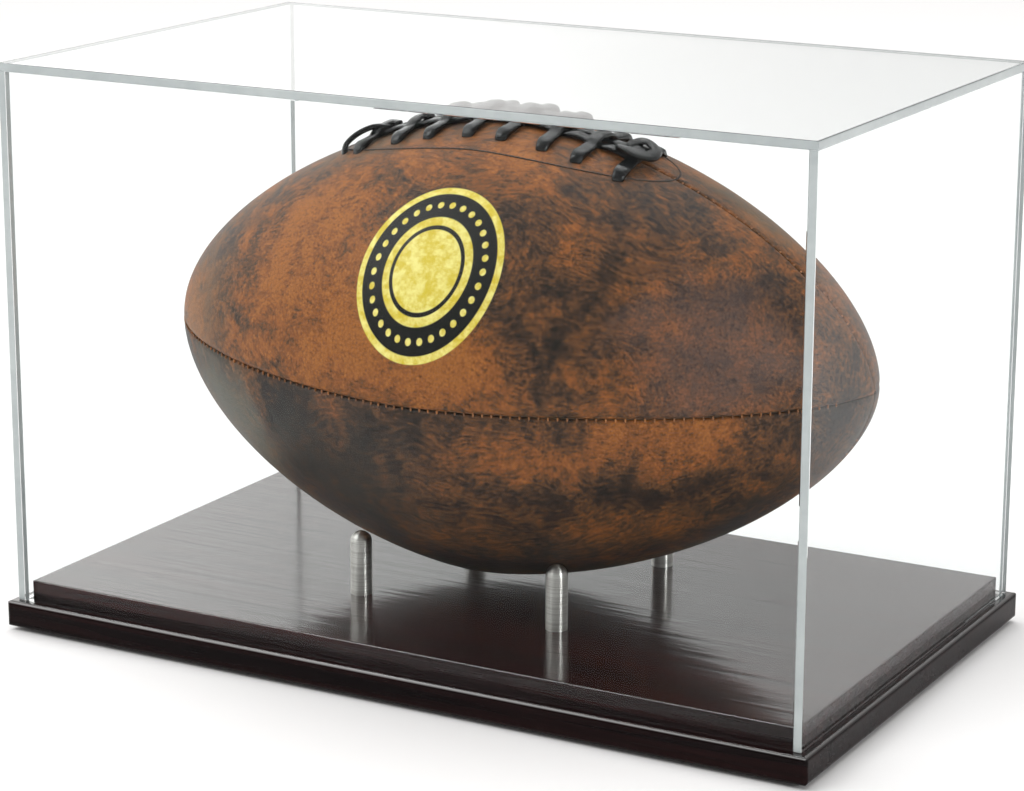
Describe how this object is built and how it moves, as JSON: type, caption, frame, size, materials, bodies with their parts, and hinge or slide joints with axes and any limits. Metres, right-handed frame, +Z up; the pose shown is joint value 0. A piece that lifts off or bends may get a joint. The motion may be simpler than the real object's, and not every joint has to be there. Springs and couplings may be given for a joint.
{
  "type": "football display case",
  "caption": "Clear box cover over a dark stepped wooden base, with polished metal pegs that cradle a laced leather football lying level along the case.",
  "frame": {"origin": "on the surface the case stands on, under the middle of the base board", "axes": "+X along the case to the right end, +Y to the back, +Z up; the ball lies along X with its laces on top"},
  "size_m": [0.3266, 0.1966, 0.2141],
  "materials": {
    "base_wood": "glossy dark lacquer",
    "foot_rubber": "matte",
    "peg_steel": "polished",
    "screw_steel": "satin",
    "screw_brass": "dull yellow plated steel",
    "clear_acrylic": "clear acrylic sheet with polished edges",
    "ball_leather": "mottled, lightly waxed, fine pebble grain",
    "ball_cloth": "woven",
    "ball_lace": "glossy",
    "ball_rubber": "smooth"
  },
  "bodies": {
    "base": {"base_board": "base_wood", "raised_panel": "base_wood", "foot_front_left": "foot_rubber", "foot_front_right": "foot_rubber", "foot_rear_left": "foot_rubber", "foot_rear_right": "foot_rubber", "peg_front_left": "peg_steel", "peg_front_right": "peg_steel", "peg_rear_left": "peg_steel", "peg_rear_right": "peg_steel", "peg_washers": "screw_steel", "peg_screws": "screw_steel", "panel_screws": "screw_brass"},
    "cover": {"cover_top": "clear_acrylic", "cover_front": "clear_acrylic", "cover_rear": "clear_acrylic", "cover_left": "clear_acrylic", "cover_right": "clear_acrylic"},
    "football": {"football_panel_upper_front": "ball_leather", "football_panel_upper_rear": "ball_leather", "football_panel_lower_front": "ball_leather", "football_panel_lower_rear": "ball_leather", "football_lining_upper_front": "ball_cloth", "football_lining_upper_rear": "ball_cloth", "football_lining_lower_front": "ball_cloth", "football_lining_lower_rear": "ball_cloth", "football_lace": "ball_lace", "football_lace_backing": "ball_leather", "football_bladder": "ball_rubber", "football_valve": "ball_rubber"}
  },
  "joints": [
    {"name": "cover_lift", "type": "slide", "parent": "base", "child": "cover", "axis": [0, 0, 1], "range_m": [0, 0.22]},
    {"name": "football_turn", "type": "hinge", "parent": "base", "child": "football", "pos_m": [0, 0, 0.10929], "axis": [1, 0, 0], "range_deg": [-130, 125]}
  ]
}
